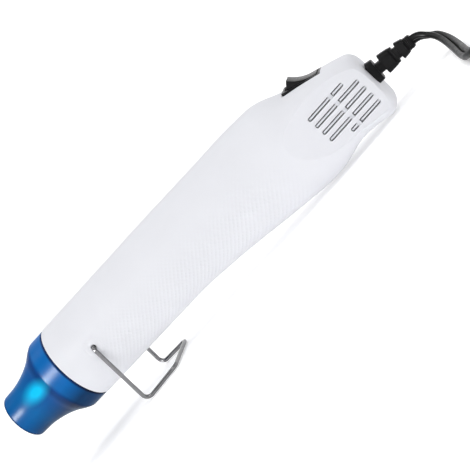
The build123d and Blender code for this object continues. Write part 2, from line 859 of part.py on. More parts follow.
with BuildPart() as cord:
    with BuildLine() as lead_line:
        FilletPolyline(*lead_points, radius=lead_radii)
    with BuildSketch(Plane(origin=lead_line.line @ 0, z_dir=lead_line.line % 0)):
        Circle(lead_diameter / 2)
    sweep()
lead_section = math.pi * (lead_diameter / 2) ** 2
print("lead radii", [round(radius, 1) for radius in lead_radii])
lead_length = lead_line.wire().length
print("lead length", round(lead_length, 1))
print("lead volume by section", round(cord.part.volume / (lead_section * lead_length), 4))

# Coil of the rest of the lead: half turns spiral in on the ground, climb at the middle, and
# spiral out on top, where they leave room beside the climb
coil_step = lead_diameter + coil_gap
lower_radii = [coil_outer - coil_step / 2 * turn for turn in range(coil_half_turns + 1)]
middle_radius = lower_radii[-1] - coil_step / 2
upper_radii = [middle_radius]
for turn in range(coil_upper_steps):
    upper_radii += [middle_radius + coil_step * (climb_share + turn)] * 2
stops = [(radius, coil_height) for radius in lower_radii]
stops += [(radius, coil_height + coil_step) for radius in upper_radii[:-1]]
coil_points = [
    coil_place(180 * number, radius, height) for number, (radius, height) in enumerate(stops)
]
last_turned = 360 * math.ceil((180 * (len(stops) - 1) + coil_start_angle) / 360) - coil_start_angle
last_point, last_heading = coil_place(last_turned, upper_radii[-1], coil_height + coil_step)

with BuildPart() as cord_coil:
    with BuildLine() as coil_line:
        Line(lead_end, coil_start)
        for (start, heading), (end, _) in zip(coil_points, coil_points[1:]):
            chord = end - start
            halfway = (start + end) / 2 + heading * (chord.length / 2)
            TangentArc(start, halfway, tangent=heading)
            TangentArc(halfway, end, tangent=chord)
        TangentArc(coil_points[-1][0], last_point, tangent=coil_points[-1][1])
        Line(last_point, last_point + last_heading * coil_tail)
    with BuildSketch(Plane(origin=lead_end, z_dir=start_heading)):
        Circle(lead_diameter / 2)
    sweep()

coil_wire = coil_line.wire()
coil_length = coil_wire.length
samples = [coil_wire @ (number / coil_samples) for number in range(coil_samples + 1)]
apart = int(coil_samples * lead_diameter * 3 / coil_length)
least_gap = min(
    (samples[first] - samples[second]).length
    for first in range(0, len(samples), 2)
    for second in range(first + apart, len(samples), 2)
)
print("coil length", round(coil_length, 1), "least gap", round(least_gap - lead_diameter, 2))

# Plug on the coil's end, lying flat: neck, tapered body and two flat pins
plug_start = last_point + last_heading * coil_tail
plug_height = plug_start.Z * 2
plug_body_y = plug_start.Y + plug_neck_length
pin_y = plug_body_y + plug_length
pin_plane = Plane(origin=(plug_start.X, pin_y, plug_start.Z), x_dir=(1, 0, 0), z_dir=(0, -1, 0))
with BuildPart() as plug_body:
    with BuildSketch(Plane.XY):
        with BuildLine():
            half_width = plug_width / 2
            Polyline(
                (plug_start.X - half_width * plug_nose_share, plug_body_y),
                (plug_start.X + half_width * plug_nose_share, plug_body_y),
                (plug_start.X + half_width, plug_body_y + plug_length * plug_shoulder_share),
                (plug_start.X + half_width, pin_y),
                (plug_start.X - half_width, pin_y),
                (plug_start.X - half_width, plug_body_y + plug_length * plug_shoulder_share),
                close=True,
            )
        make_face()
    extrude(amount=plug_height)
    fillet(plug_body.edges().filter_by(Axis.Z), radius=plug_round)
    chamfer(plug_body.faces().sort_by(Axis.Z)[-1].edges(), length=plug_round / 2)
    chamfer(plug_body.faces().sort_by(Axis.Z)[0].edges(), length=plug_round / 2)
    with BuildSketch(Plane(origin=plug_start, z_dir=(0, 1, 0))):
        Circle(plug_neck_radius)
    extrude(amount=plug_neck_length)
    with BuildSketch(pin_plane):
        with GridLocations(pin_spacing, 0, 2, 1):
            Rectangle(pin_thickness, pin_width)
    extrude(amount=pin_root, mode=Mode.SUBTRACT)

with BuildPart() as plug_pins:
    with BuildSketch(pin_plane.offset(pin_root)):
        with GridLocations(pin_spacing, 0, 2, 1):
            Rectangle(pin_thickness, pin_width)
    extrude(amount=-(pin_root + pin_length))
    chamfer(plug_pins.faces().sort_by(Axis.Y)[-2:].edges(), length=pin_thickness / 4)
    with BuildSketch(Plane(origin=(plug_start.X - plug_width, 0, 0), z_dir=(1, 0, 0))):
        with Locations((pin_y + pin_length - pin_hole_from_tip, plug_start.Z)):
            Circle(pin_hole_radius)
    extrude(amount=plug_width * 2, mode=Mode.SUBTRACT)

write(cord.part, "cord")
write(cord_coil.part, "cord_coil")
write(plug_body.part, "plug_body")
write(plug_pins.part, "plug_pins")
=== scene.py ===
# %% [markdown]
# # Dressing an embossing heat tool
# The tool is a slim hot-air gun for craft work: a white housing in two halves, a translucent blue
# nozzle, a wire stand, a rocker switch and a twin lead. The solids come in as a fixed frame, in
# metres, so each piece that is made here goes where its solid is.

# %% Bring in the frame and note its size
import json
import math

import bpy
from mathutils import Matrix, Vector


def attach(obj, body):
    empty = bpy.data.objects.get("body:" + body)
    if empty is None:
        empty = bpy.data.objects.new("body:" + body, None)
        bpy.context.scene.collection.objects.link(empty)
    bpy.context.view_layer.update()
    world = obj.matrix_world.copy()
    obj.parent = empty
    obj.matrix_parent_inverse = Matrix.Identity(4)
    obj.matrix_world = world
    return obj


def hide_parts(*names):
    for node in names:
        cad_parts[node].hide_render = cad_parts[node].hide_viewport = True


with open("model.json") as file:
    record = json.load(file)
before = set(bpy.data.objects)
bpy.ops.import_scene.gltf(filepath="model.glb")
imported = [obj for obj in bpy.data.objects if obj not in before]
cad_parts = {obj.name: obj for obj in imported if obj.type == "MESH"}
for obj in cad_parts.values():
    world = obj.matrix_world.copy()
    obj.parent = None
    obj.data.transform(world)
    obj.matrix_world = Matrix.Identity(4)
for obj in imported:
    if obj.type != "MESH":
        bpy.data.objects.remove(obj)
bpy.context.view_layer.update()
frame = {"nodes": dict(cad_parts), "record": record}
# Points of one mesh that lie closer than this, in metres, are merged
MERGE = 0.000002

# %% [markdown]
# Half of the work is knowing where the tool's own axis lies. The tool stands tipped by a little
# over two degrees, on its wire foot and its belly. A matrix takes a place on the tool, measured
# in millimetres from the nozzle's mouth along the barrel, to its place in the scene.

# %% The tool's own axis
TIP = math.radians(2.234)
MOUTH = Vector((-0.12849, 0, 0.03784))
tool_to_scene = Matrix.Translation(MOUTH) @ Matrix.Rotation(TIP, 4, "Y")


def on_tool(x, y, z):
    """A place on the tool in millimetres, as a place in the scene in metres."""
    return tool_to_scene @ Vector((x / 1000, y / 1000, z / 1000))


# %% [markdown]
# The camera stands almost level with the tool and is rolled by half a right angle, which is why
# the tool runs up the picture. It was fitted to the outline, the nozzle's ring and the stand, so
# the same lens and place show the solids where the photograph has them.

# %% The camera
LENS = 113.67
CAMERA_PLACE = (335.124, -643.128, 63.112)
CAMERA_SIDE = math.radians(17)
CAMERA_RISE = math.radians(6.6)
CAMERA_ROLL = math.radians(-48.9)
camera_data = bpy.data.cameras.new("studio_camera")
camera_data.sensor_width = 36
camera_data.lens = LENS
camera_data.clip_end = 20
camera = bpy.data.objects.new("studio_camera", camera_data)
bpy.context.scene.collection.objects.link(camera)
level_right = Vector((math.cos(CAMERA_SIDE), math.sin(CAMERA_SIDE), 0))
level_back = Vector((math.sin(CAMERA_SIDE), -math.cos(CAMERA_SIDE), 0))
back = level_back * math.cos(CAMERA_RISE) + Vector((0, 0, math.sin(CAMERA_RISE)))
level_up = back.cross(level_right)
right = level_right * math.cos(CAMERA_ROLL) + level_up * math.sin(CAMERA_ROLL)
up = level_up * math.cos(CAMERA_ROLL) - level_right * math.sin(CAMERA_ROLL)
turn = Matrix((right, up, back)).transposed().to_4x4()
tip_turn = Matrix.Rotation(TIP, 4, "Y")
camera.matrix_world = Matrix.Translation(on_tool(*CAMERA_PLACE)) @ tip_turn @ turn
bpy.context.scene.camera = camera

# %% [markdown]
# A white floor with low walls all round, and a high one at the back, gives the plain background
# and soft light from all sides. Three square lamps do the rest: one above, one in front of the
# nozzle and one in front of the head. A fourth is seen by glossy surfaces alone, which gives the
# nozzle and the wire their highlights and leaves the white housing as it is.

# %% Floor, backdrop and lamps
def deselect():
    """Leave nothing selected, so that the next operator acts on the new piece alone."""
    bpy.ops.object.select_all(action="DESELECT")


def select_only(*pieces):
    """Select these pieces alone, with the first of them as the active one."""
    deselect()
    for piece in pieces:
        piece.select_set(True)
    bpy.context.view_layer.objects.active = pieces[0]


def nodes_of(material):
    """The node tree and the main shader of a material."""
    tree = material.node_tree
    return tree, tree.nodes["Principled BSDF"]


def map_range(tree, value, start, end, low, high):
    """A value that runs from start to end, made to run from low to high."""
    node = tree.nodes.new("ShaderNodeMapRange")
    for socket, number in (("From Min", start), ("From Max", end), ("To Min", low), ("To Max", high)):
        node.inputs[socket].default_value = number
    tree.links.new(value, node.inputs["Value"])
    return node.outputs["Result"]


paper = bpy.data.materials.new("studio_paper")
paper.use_nodes = True
paper_tree, paper_shader = nodes_of(paper)
paper_shader.inputs["Base Color"].default_value = (0.93, 0.93, 0.93, 1)
paper_shader.inputs["Roughness"].default_value = 0.9
paper_shader.inputs["Emission Color"].default_value = (1, 1, 1, 1)
# The paper glows less round the tool, where the lamps light it, so that it stays evenly white
# and throws less light up at the tool's underside
GLOW_NEAR, NEAR = 0.28, 0.15
GLOW_FAR, FAR = 0.44, 0.9
paper_place = paper_tree.nodes.new("ShaderNodeTexCoord")
paper_reach = paper_tree.nodes.new("ShaderNodeVectorMath")
paper_reach.operation = "LENGTH"
paper_tree.links.new(paper_place.outputs["Object"], paper_reach.inputs[0])
paper_glow = map_range(paper_tree, paper_reach.outputs["Value"], NEAR, FAR, GLOW_NEAR, GLOW_FAR)
paper_tree.links.new(paper_glow, paper_shader.inputs["Emission Strength"])

FLOOR_SIZE = 8
FLOOR_DROP = 0.0004
BACK_WALL = 5
LOW_WALL = 0.8
deselect()
bpy.ops.mesh.primitive_plane_add(size=FLOOR_SIZE, location=(0, 0, -FLOOR_DROP))
floor = bpy.context.object
floor.name = "studio_floor"
bpy.ops.object.mode_set(mode="EDIT")
bpy.ops.mesh.select_all(action="DESELECT")
bpy.ops.object.mode_set(mode="OBJECT")
for edge in floor.data.edges:
    edge.select = True
bpy.ops.object.mode_set(mode="EDIT")
bpy.ops.mesh.select_mode(type="EDGE")
bpy.ops.mesh.extrude_edges_move(TRANSFORM_OT_translate={"value": (0, 0, LOW_WALL)})
bpy.ops.mesh.select_all(action="DESELECT")
bpy.ops.object.mode_set(mode="OBJECT")
for edge in floor.data.edges:
    ends = [floor.data.vertices[v].co for v in edge.vertices]
    edge.select = all(end.y > FLOOR_SIZE / 4 and end.z > LOW_WALL / 2 for end in ends)
bpy.ops.object.mode_set(mode="EDIT")
bpy.ops.mesh.extrude_edges_move(TRANSFORM_OT_translate={"value": (0, 0, BACK_WALL)})
bpy.ops.mesh.select_all(action="DESELECT")
bpy.ops.object.mode_set(mode="OBJECT")
floor.data.materials.append(paper)

world = bpy.data.worlds.new("studio_air")
world.use_nodes = True
world.node_tree.nodes["Background"].inputs["Color"].default_value = (0.97, 0.975, 1, 1)
world.node_tree.nodes["Background"].inputs["Strength"].default_value = 0.39
bpy.context.scene.world = world
bpy.context.scene.view_settings.view_transform = "Standard"
bpy.context.scene.view_settings.look = "None"


LAMPS_AIM = Vector((0, 0, 0.03))


def add_lamp(name, place, size, power):
    """A wide square lamp that points at the tool."""
    data = bpy.data.lights.new(name, "AREA")
    data.size = size
    data.energy = power
    lamp = bpy.data.objects.new(name, data)
    bpy.context.scene.collection.objects.link(lamp)
    lamp.location = place
    lamp.rotation_euler = (LAMPS_AIM - Vector(place)).to_track_quat("-Z", "Y").to_euler()
    return lamp


add_lamp("lamp_above", (-0.2, 0.15, 1.25), 0.9, 5.93)
add_lamp("lamp_front", (-0.72, -0.98, 0.62), 0.3, 1.11)
add_lamp("lamp_tail", (0.55, -0.75, 1.0), 0.6, 4.79)
glint = add_lamp("lamp_glint", (-0.72, -0.98, 0.58), 0.34, 42.0)
glint.visible_diffuse = False

# %% [markdown]
# The lead is flat twin flex. Its middle follows one smooth spline, whose control points are the
# route of the solid lead: out of the strain relief, down to the floor, and along it to a neat
# coil that lies outside the picture. The coil is wound inwards on the floor, climbs one layer and
# is wound outwards again, so both its ends come out at the edge.

# %% The route of the lead
RELIEF_TIP = Vector((0.128455, 0, 0.01491))
EXIT_TURN = math.radians(9.034)
EXIT_RUN = 0.003
LEAD = 0.0058
exit_way = Vector((math.cos(EXIT_TURN), 0, -math.sin(EXIT_TURN)))
route = [RELIEF_TIP, RELIEF_TIP + exit_way * EXIT_RUN]
# Millimetres from the strain relief's tip, and above the floor
for x, y, z in [
    (6.2, -1.4, 11.2),
    (8.6, -4.0, 9.6),
    (10.4, -8.8, 7.4),
    (11.8, -16.0, 5.3),
    (13.1, -26.0, 3.7),
    (14.6, -39.5, 2.6),
    (16.3, -56.5, 2.2),
    (19.4, -75.0, 2.6),
    (28.6, -90.6, 3.0),
    (42.4, -102.2, 3.0),
]:
    route.append(Vector((RELIEF_TIP.x + x / 1000, y / 1000, z / 1000)))

COIL_CENTRE = Vector((RELIEF_TIP.x + 0.0767, -0.0671, 0))
COIL_START = math.radians(252)
COIL_OUTER = 0.044
FLOOR_LAYER = 0.003
STEP = LEAD + 0.0005
POINTS_PER_HALF = 7
POINTS_AT_END = 5
COIL_APPROACH = LEAD * 1.6
HALF_TURNS_IN = 6
# The second layer starts between two turns of the first, after a climb that widens it
CLIMB = 1.22
# A spline runs inside its control points on a bend, so these lie a little further out
BULGE = 1.012
TAIL_START = 0.004
TAIL = 0.036


def outward_at(angle):
    """The level direction out of the coil's middle at this angle."""
    return Vector((math.cos(angle), math.sin(angle), 0))


def heading_at(angle):
    """The way that the lead runs at this angle of the coil."""
    return Vector((-math.sin(angle), math.cos(angle), 0))


coil_start = COIL_CENTRE + outward_at(COIL_START) * COIL_OUTER + Vector((0, 0, FLOOR_LAYER))
route.append(coil_start - heading_at(COIL_START) * COIL_APPROACH)

# Distance from the middle and height after each half turn: in on the floor, then out on top
inner = COIL_OUTER - STEP * (HALF_TURNS_IN + 1) / 2
stops = [(COIL_OUTER - STEP / 2 * number, FLOOR_LAYER) for number in range(HALF_TURNS_IN + 1)]
stops += [(inner + STEP * share, FLOOR_LAYER + STEP) for share in (0, CLIMB, CLIMB, CLIMB + 1)]
for number, ((start_r, start_z), (end_r, end_z)) in enumerate(zip(stops, stops[1:])):
    start_angle = COIL_START + math.pi * number
    centre = COIL_CENTRE + outward_at(start_angle) * (start_r - end_r) / 2
    radius = (start_r + end_r) / 2 * BULGE
    for step in range(POINTS_PER_HALF):
        angle = start_angle + math.pi * step / POINTS_PER_HALF
        height = start_z + (end_z - start_z) * step / POINTS_PER_HALF
        route.append(centre + outward_at(angle) * radius + Vector((0, 0, height)))
last_angle = COIL_START + math.pi * (len(stops) - 1)
last_turn = 2 * math.pi * math.ceil(last_angle / 2 / math.pi) - last_angle
for step in range(POINTS_AT_END):
    angle = last_angle + last_turn * step / POINTS_AT_END
    route.append(COIL_CENTRE + outward_at(angle) * end_r * BULGE + Vector((0, 0, end_z)))
coil_end = COIL_CENTRE + Vector((end_r, 0, end_z))
for ahead in (TAIL_START, TAIL / 2, TAIL):
    route.append(coil_end + Vector((0, ahead, 0)))

# %% [markdown]
# A NURBS spline of the third order rounds the route's corners by itself. Read as a mesh without a
# bevel it gives the middle line, and the two strands are laid beside that line, turning slowly
# round each other as twin flex does when it has been wound up.

# %% The middle line of the lead
lead_curve = bpy.data.curves.new("lead_route", "CURVE")
lead_curve.dimensions = "3D"
lead_spline = lead_curve.splines.new("NURBS")
lead_spline.points.add(len(route) - 1)
for point, place in zip(lead_spline.points, route):
    point.co = (*place, 1)
lead_spline.order_u = 3
lead_spline.use_endpoint_u = True
lead_spline.resolution_u = 8
lead_guide = bpy.data.objects.new("lead_route", lead_curve)
bpy.context.scene.collection.objects.link(lead_guide)
line_mesh = bpy.data.meshes.new_from_object(lead_guide)
line = [vertex.co.copy() for vertex in line_mesh.vertices]
bpy.data.objects.remove(lead_guide)
bpy.data.meshes.remove(line_mesh)
lead_length = sum((after - before).length for before, after in zip(line, line[1:]))
print("lead points", len(line), "length", round(lead_length, 4))

# %% The two strands
STRAND = LEAD / 4
# The two skins are one moulding, so the strands lie a trace closer than side by side
STRAND_APART = STRAND * 0.99
# The pair leaves the tool turned, lies flat along the floor, and turns slowly from there on
START_TURN = math.radians(37)
TURN_HELD = 0.015
TURN_FADES = 0.04
FLAT_LENGTH = 0.075
LAY_LENGTH = 0.085


def strand_curve(name, side):
    """One strand of the lead, beside its middle line."""
    curve = bpy.data.curves.new(name, "CURVE")
    curve.dimensions = "3D"
    curve.bevel_depth = STRAND
    curve.bevel_resolution = 3
    curve.use_fill_caps = True
    spline = curve.splines.new("POLY")
    spline.points.add(len(line) - 1)
    travelled = 0.0
    for number, place in enumerate(line):
        before = line[max(number - 1, 0)]
        after = line[min(number + 1, len(line) - 1)]
        if number:
            travelled += (place - before).length
        heading = (after - before).normalized()
        level = heading.cross(Vector((0, 0, 1))).normalized()
        above = level.cross(heading)
        turn = START_TURN * min(max(1 - (travelled - TURN_HELD) / TURN_FADES, 0), 1)
        turn += 2 * math.pi * max(travelled - FLAT_LENGTH, 0) / LAY_LENGTH
        aside = level * math.cos(turn) + above * math.sin(turn)
        spline.points[number].co = (*(place + aside * side * STRAND_APART), 1)
    strand = bpy.data.objects.new(name, curve)
    bpy.context.scene.collection.objects.link(strand)
    return strand


strands = [strand_curve("lead_strand_a", 1), strand_curve("lead_strand_b", -1)]
select_only(*strands)
bpy.ops.object.convert(target="MESH")
bpy.ops.object.join()
lead = bpy.context.object
lead.name = "twin_lead"
bpy.ops.object.shade_smooth()
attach(lead, "housing")
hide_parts("cord", "cord_coil")
print("lead triangles", len(lead.data.polygons) * 2)

# %% [markdown]
# A strap keeps the coil together. It is a flat curve that runs round the bundle of turns: under
# them along the floor, up past the outer turn, over the second layer and down inside the coil. A
# solidify modifier gives the flat strap its thickness.

# %% The coil's strap
STRAP_ANGLE = math.radians(150)
STRAP_WIDTH = 0.009
STRAP_THICKNESS = 0.0007
# Millimetres out from the coil's middle, and above the floor
strap_section = [
    (18.2, 0.5), (17.6, 3.0), (17.6, 8.5), (19.2, 12.6), (22.6, 13.4), (29, 13.4), (34.4, 13.3),
    (38.0, 11.6), (41.6, 8.0), (46.2, 6.9), (48.4, 4.6), (48.3, 1.6), (46.6, 0.5), (33, 0.45),
]
strap_curve = bpy.data.curves.new("coil_strap", "CURVE")
strap_curve.dimensions = "3D"
strap_spline = strap_curve.splines.new("NURBS")
strap_spline.points.add(len(strap_section) - 1)
for point, (out, height) in zip(strap_spline.points, strap_section):
    point.co = (out / 1000, 0, height / 1000, 1)
strap_spline.order_u = 3
strap_spline.use_cyclic_u = True
strap_spline.resolution_u = 4
strap = bpy.data.objects.new("coil_strap", strap_curve)
bpy.context.scene.collection.objects.link(strap)
select_only(strap)
bpy.ops.object.convert(target="MESH")
strap = bpy.context.object
bpy.ops.object.mode_set(mode="EDIT")
bpy.ops.mesh.select_all(action="SELECT")
bpy.ops.mesh.remove_doubles(threshold=MERGE)
bpy.ops.transform.translate(value=(0, -STRAP_WIDTH / 2, 0))
bpy.ops.mesh.extrude_region_move(TRANSFORM_OT_translate={"value": (0, STRAP_WIDTH, 0)})
bpy.ops.mesh.select_all(action="SELECT")
bpy.ops.mesh.normals_make_consistent(inside=False)
bpy.ops.object.mode_set(mode="OBJECT")
print("strap faces", len(strap.data.polygons))
thick = strap.modifiers.new("thick", "SOLIDIFY")
thick.thickness = STRAP_THICKNESS
thick.offset = 0
bpy.ops.object.modifier_apply(modifier="thick")
strap.data.transform(Matrix.Translation(COIL_CENTRE) @ Matrix.Rotation(STRAP_ANGLE, 4, "Z"))

# %% [markdown]
# Every finish is a small network of nodes. Most moulded plastics need the same three things: a
# colour that wanders by a few percent, a fine grain in the bump, and a roughness that isn't quite
# even, because handling polishes the high places.

# %% A start for every finish
def start_finish(name, colour, roughness, metallic=0.0):
    """A new material with its colour, and its tree and shader for what is added."""
    material = bpy.data.materials.new(name)
    material.use_nodes = True
    tree, shader = nodes_of(material)
    shader.inputs["Base Color"].default_value = (*colour, 1)
    shader.inputs["Roughness"].default_value = roughness
    shader.inputs["Metallic"].default_value = metallic
    return material, tree, shader


def object_place(tree):
    """The socket with the place on the piece, in metres."""
    return tree.nodes.new("ShaderNodeTexCoord").outputs["Object"]


def tool_rulers(tree, place):
    """Sockets that measure along the tool from the nozzle's mouth, across it and up from its axis."""
    on_axis = tree.nodes.new("ShaderNodeMapping")
    on_axis.vector_type = "TEXTURE"
    on_axis.inputs["Location"].default_value = MOUTH
    on_axis.inputs["Rotation"].default_value = (0, TIP, 0)
    tree.links.new(place, on_axis.inputs["Vector"])
    parts = tree.nodes.new("ShaderNodeSeparateXYZ")
    tree.links.new(on_axis.outputs["Vector"], parts.inputs["Vector"])
    return parts.outputs


def sums(tree, operation, first, second=None, clamp=False):
    """One sum on sockets or numbers."""
    node = tree.nodes.new("ShaderNodeMath")
    node.operation = operation
    node.use_clamp = clamp
    for socket, value in zip(node.inputs, (first, second)):
        if value is None:
            continue
        if isinstance(value, (int, float)):
            socket.default_value = value
        else:
            tree.links.new(value, socket)
    return node.outputs[0]


def rise(tree, value, start, reach):
    """A share that goes from 0 to 1 over this reach from the start, or falls where it is negative."""
    return sums(tree, "MULTIPLY", sums(tree, "SUBTRACT", value, start), 1 / reach, clamp=True)


def far_from(tree, value, middle, reach):
    """How far a value is from the middle, counted in reaches."""
    return sums(tree, "ABSOLUTE", sums(tree, "MULTIPLY", sums(tree, "SUBTRACT", value, middle), 1 / reach))


def mixed(tree, share, low, high):
    """Two colours mixed by a share, each of them a socket or red, green and blue."""
    node = tree.nodes.new("ShaderNodeMix")
    node.data_type = "RGBA"
    tree.links.new(share, node.inputs["Factor"])
    low_socket, high_socket = [socket for socket in node.inputs if socket.type == "RGBA"]
    for socket, colour in ((low_socket, low), (high_socket, high)):
        if isinstance(colour, tuple):
            socket.default_value = (*colour, 1)
        else:
            tree.links.new(colour, socket)
    return [socket for socket in node.outputs if socket.type == "RGBA"][0]


def grain(tree, place, size, detail=3.0):
    """Noise whose grains are about this many metres across."""
    node = tree.nodes.new("ShaderNodeTexNoise")
    node.inputs["Scale"].default_value = 1 / size
    node.inputs["Detail"].default_value = detail
    tree.links.new(place, node.inputs["Vector"])
    return node.outputs["Fac"]


def spread(tree, fac, low, high):
    """A share stretched from its middle part, where most noise lies, to run from low to high."""
    return map_range(tree, fac, 0.3, 0.7, low, high)


def wander(tree, shader, fac, colour, share):
    """Let the colour wander between a darker and a lighter share of itself."""
    ramp = tree.nodes.new("ShaderNodeValToRGB")
    low, high = ramp.color_ramp.elements
    low.position, high.position = 0.35, 0.65
    low.color = (*[channel * (1 - share) for channel in colour], 1)
    high.color = (*[min(channel * (1 + share), 1) for channel in colour], 1)
    tree.links.new(fac, ramp.inputs["Fac"])
    tree.links.new(ramp.outputs["Color"], shader.inputs["Base Color"])


def relief_of(tree, shader, height, depth, strength=1.0):
    """Bump from a height that runs from 0 to 1 over this depth in metres."""
    node = tree.nodes.new("ShaderNodeBump")
    node.inputs["Distance"].default_value = depth
    node.inputs["Strength"].default_value = strength
    tree.links.new(height, node.inputs["Height"])
    tree.links.new(node.outputs["Normal"], shader.inputs["Normal"])


# %% [markdown]
# The housing is satin white ABS, a little bluish. The lower side of the barrel has a grip of tiny
# pillows in rows at half a right angle to the barrel. The pattern is drawn on the tool's own axis:
# the place along it and the length round the barrel are turned into two slanting rulers, and
# where their waves cross there is a pillow. The grip fades out towards the top, the nozzle and
# the head, as the mould's polish does.

# %% White housing with its grip
BARREL_RADIUS = 0.02125
SEAM_WIDTH = 0.0004
GRIP_PITCH = 0.0025
PILLOW_POWER = 0.7
# Where the grip starts behind the nozzle and ends before the head, and how far it fades there
GRIP_FRONT, GRIP_REAR, GRIP_FADE = 0.052, 0.186, 0.02
# How far round from the underside it reaches on each side, and how far it fades there, in radians
GRIP_REACH, GRIP_SIDE_FADE = 2.0, 1 / 1.3
HOUSING_RELIEF = 0.00024


def white_housing():
    """Satin white with a grip of pillows and the parting line of the two halves."""
    colour = (0.76, 0.765, 0.798)
    material, tree, shader = start_finish("white_abs", colour, 0.36)
    place = object_place(tree)
    along, across, up_tool = tool_rulers(tree, place)
    round_angle = sums(tree, "ARCTAN2", across, sums(tree, "MULTIPLY", up_tool, -1.0))
    round_way = sums(tree, "MULTIPLY", round_angle, BARREL_RADIUS)
    waves = []
    for slant in ("ADD", "SUBTRACT"):
        ruler = sums(tree, slant, along, round_way)
        wave = sums(tree, "SINE", sums(tree, "MULTIPLY", ruler, math.pi / GRIP_PITCH))
        waves.append(sums(tree, "POWER", sums(tree, "ABSOLUTE", wave), PILLOW_POWER))
    pillow = sums(tree, "MULTIPLY", *waves)
    field = sums(
        tree, "MULTIPLY", rise(tree, along, GRIP_FRONT, GRIP_FADE), rise(tree, along, GRIP_REAR, -GRIP_FADE)
    )
    side_fade = rise(tree, sums(tree, "ABSOLUTE", round_angle), GRIP_REACH, -GRIP_SIDE_FADE)
    grip = sums(tree, "MULTIPLY", pillow, sums(tree, "MULTIPLY", field, side_fade))
    fine = sums(tree, "MULTIPLY", grain(tree, place, 0.00035), 0.05)
    seam = rise(tree, sums(tree, "ABSOLUTE", across), 0, SEAM_WIDTH)
    height = sums(tree, "ADD", sums(tree, "ADD", grip, fine), seam)
    relief_of(tree, shader, height, HOUSING_RELIEF, 0.8)
    wander(tree, shader, grain(tree, place, 0.03), colour, 0.012)
    tree.links.new(spread(tree, grain(tree, place, 0.006), 0.42, 0.50), shader.inputs["Roughness"])
    shader.inputs["Specular IOR Level"].default_value = 0.04
    shader.inputs["Subsurface Weight"].default_value = 0.12
    shader.inputs["Subsurface Radius"].default_value = (0.004, 0.004, 0.004)
    return material


finishes = {"white_abs": white_housing()}

# %% [markdown]
# The nozzle is tinted, see-through plastic over a steel tube. Light that comes back from the tube
# brightens it to cyan where the wall is thin, and it goes deep blue at its edges and below. The
# finish paints this light and shade into the colour: a ramp along the nozzle with painted shade at
# its edges, painted shade towards its underside and a round painted glow on each side, all under a clear
# coat.

# %% Blue nozzle
NOZZLE_LENGTH = 0.0407
# Colour at shares of the nozzle's length, from its mouth to the end of its collar: the blue tint, with
# painted shade in the dark bands at the mouth's lip, at the corner where the collar meets the taper and at
# the collar's rear edge against the housing
WALL_TINT_AND_SHADE = [
    (0.0, (0.0, 0.020, 0.085)),
    (0.035, (0.0, 0.105, 0.33)),
    (0.30, (0.0, 0.125, 0.36)),
    (0.62, (0.0, 0.085, 0.31)),
    (0.70, (0.0, 0.050, 0.20)),
    (0.745, (0.0, 0.055, 0.23)),
    (0.79, (0.0, 0.130, 0.41)),
    (0.955, (0.0, 0.130, 0.42)),
    (0.975, (0.0, 0.020, 0.09)),
    (1.0, (0.0, 0.030, 0.13)),
]
# Colour of the painted glow: a cyan patch of light painted into the colour on each side
PAINTED_GLOW_COLOUR = (0.0, 0.62, 0.98)
# The painted glow spot's middle and half size, along the tool and up from its axis
GLOW_SPOT_ALONG, GLOW_SPOT_HALF_LENGTH = 0.0212, 0.0125
GLOW_SPOT_UP, GLOW_SPOT_HALF_HEIGHT = 0.0050, 0.0060
# Painted shade on the underside: from how far below the axis, and over what height, it fades out upwards,
# and the share of the colour left where it is darkest
SHADE_UNDER_START, SHADE_UNDER_REACH, SHADE_UNDER_SHARE = -0.019, 0.024, 0.25


def blue_nozzle():
    """Tinted plastic over a steel tube, with painted shade and a painted cyan glow in its colour."""
    material, tree, shader = start_finish("blue_clear", WALL_TINT_AND_SHADE[2][1], 0.3)
    place = object_place(tree)
    along, across, up_tool = tool_rulers(tree, place)
    # The ramp along the nozzle holds its blue tint and the painted shade at its edges and its corner
    walls_and_shade = tree.nodes.new("ShaderNodeValToRGB")
    tree.links.new(rise(tree, along, 0, NOZZLE_LENGTH), walls_and_shade.inputs["Fac"])
    steps = walls_and_shade.color_ramp.elements
    for step, (spot, ramp_colour) in zip(steps, (WALL_TINT_AND_SHADE[0], WALL_TINT_AND_SHADE[-1])):
        step.position, step.color = spot, (*ramp_colour, 1)
    for spot, ramp_colour in WALL_TINT_AND_SHADE[1:-1]:
        steps.new(spot).color = (*ramp_colour, 1)
    off_along = far_from(tree, along, GLOW_SPOT_ALONG, GLOW_SPOT_HALF_LENGTH)
    off_up = far_from(tree, up_tool, GLOW_SPOT_UP, GLOW_SPOT_HALF_HEIGHT)
    squares = [sums(tree, "MULTIPLY", off, off) for off in (off_along, off_up)]
    off_spot = sums(tree, "SQRT", sums(tree, "ADD", *squares))
    # Painted light: a round cyan glow on each side, strongest at the spot's middle
    painted_glow = sums(tree, "SUBTRACT", 1.0, off_spot, clamp=True)
    painted_glow = sums(tree, "POWER", sums(tree, "MULTIPLY", painted_glow, 1.35, clamp=True), 1.5)
    # Painted shade: the colour darkens towards the nozzle's underside
    painted_under_shade = spread(tree, rise(tree, up_tool, SHADE_UNDER_START, SHADE_UNDER_REACH), SHADE_UNDER_SHARE, 1.0)
    shaded = mixed(tree, painted_under_shade, (0.0, 0.0, 0.0), walls_and_shade.outputs["Color"])
    tree.links.new(mixed(tree, painted_glow, shaded, PAINTED_GLOW_COLOUR), shader.inputs["Base Color"])
    tree.links.new(spread(tree, grain(tree, place, 0.008), 0.26, 0.34), shader.inputs["Roughness"])
    shader.inputs["IOR"].default_value = 1.08
    shader.inputs["Specular IOR Level"].default_value = 0.1
    shader.inputs["Coat Weight"].default_value = 0.38
    shader.inputs["Coat Tint"].default_value = (0.5, 0.90, 1.0, 1)
    shader.inputs["Coat IOR"].default_value = 1.33
    shader.inputs["Coat Roughness"].default_value = 0.30
    relief_of(tree, shader, grain(tree, place, 0.0006, 1.0), 0.00001, 0.3)
    return material


finishes["blue_clear"] = blue_nozzle()

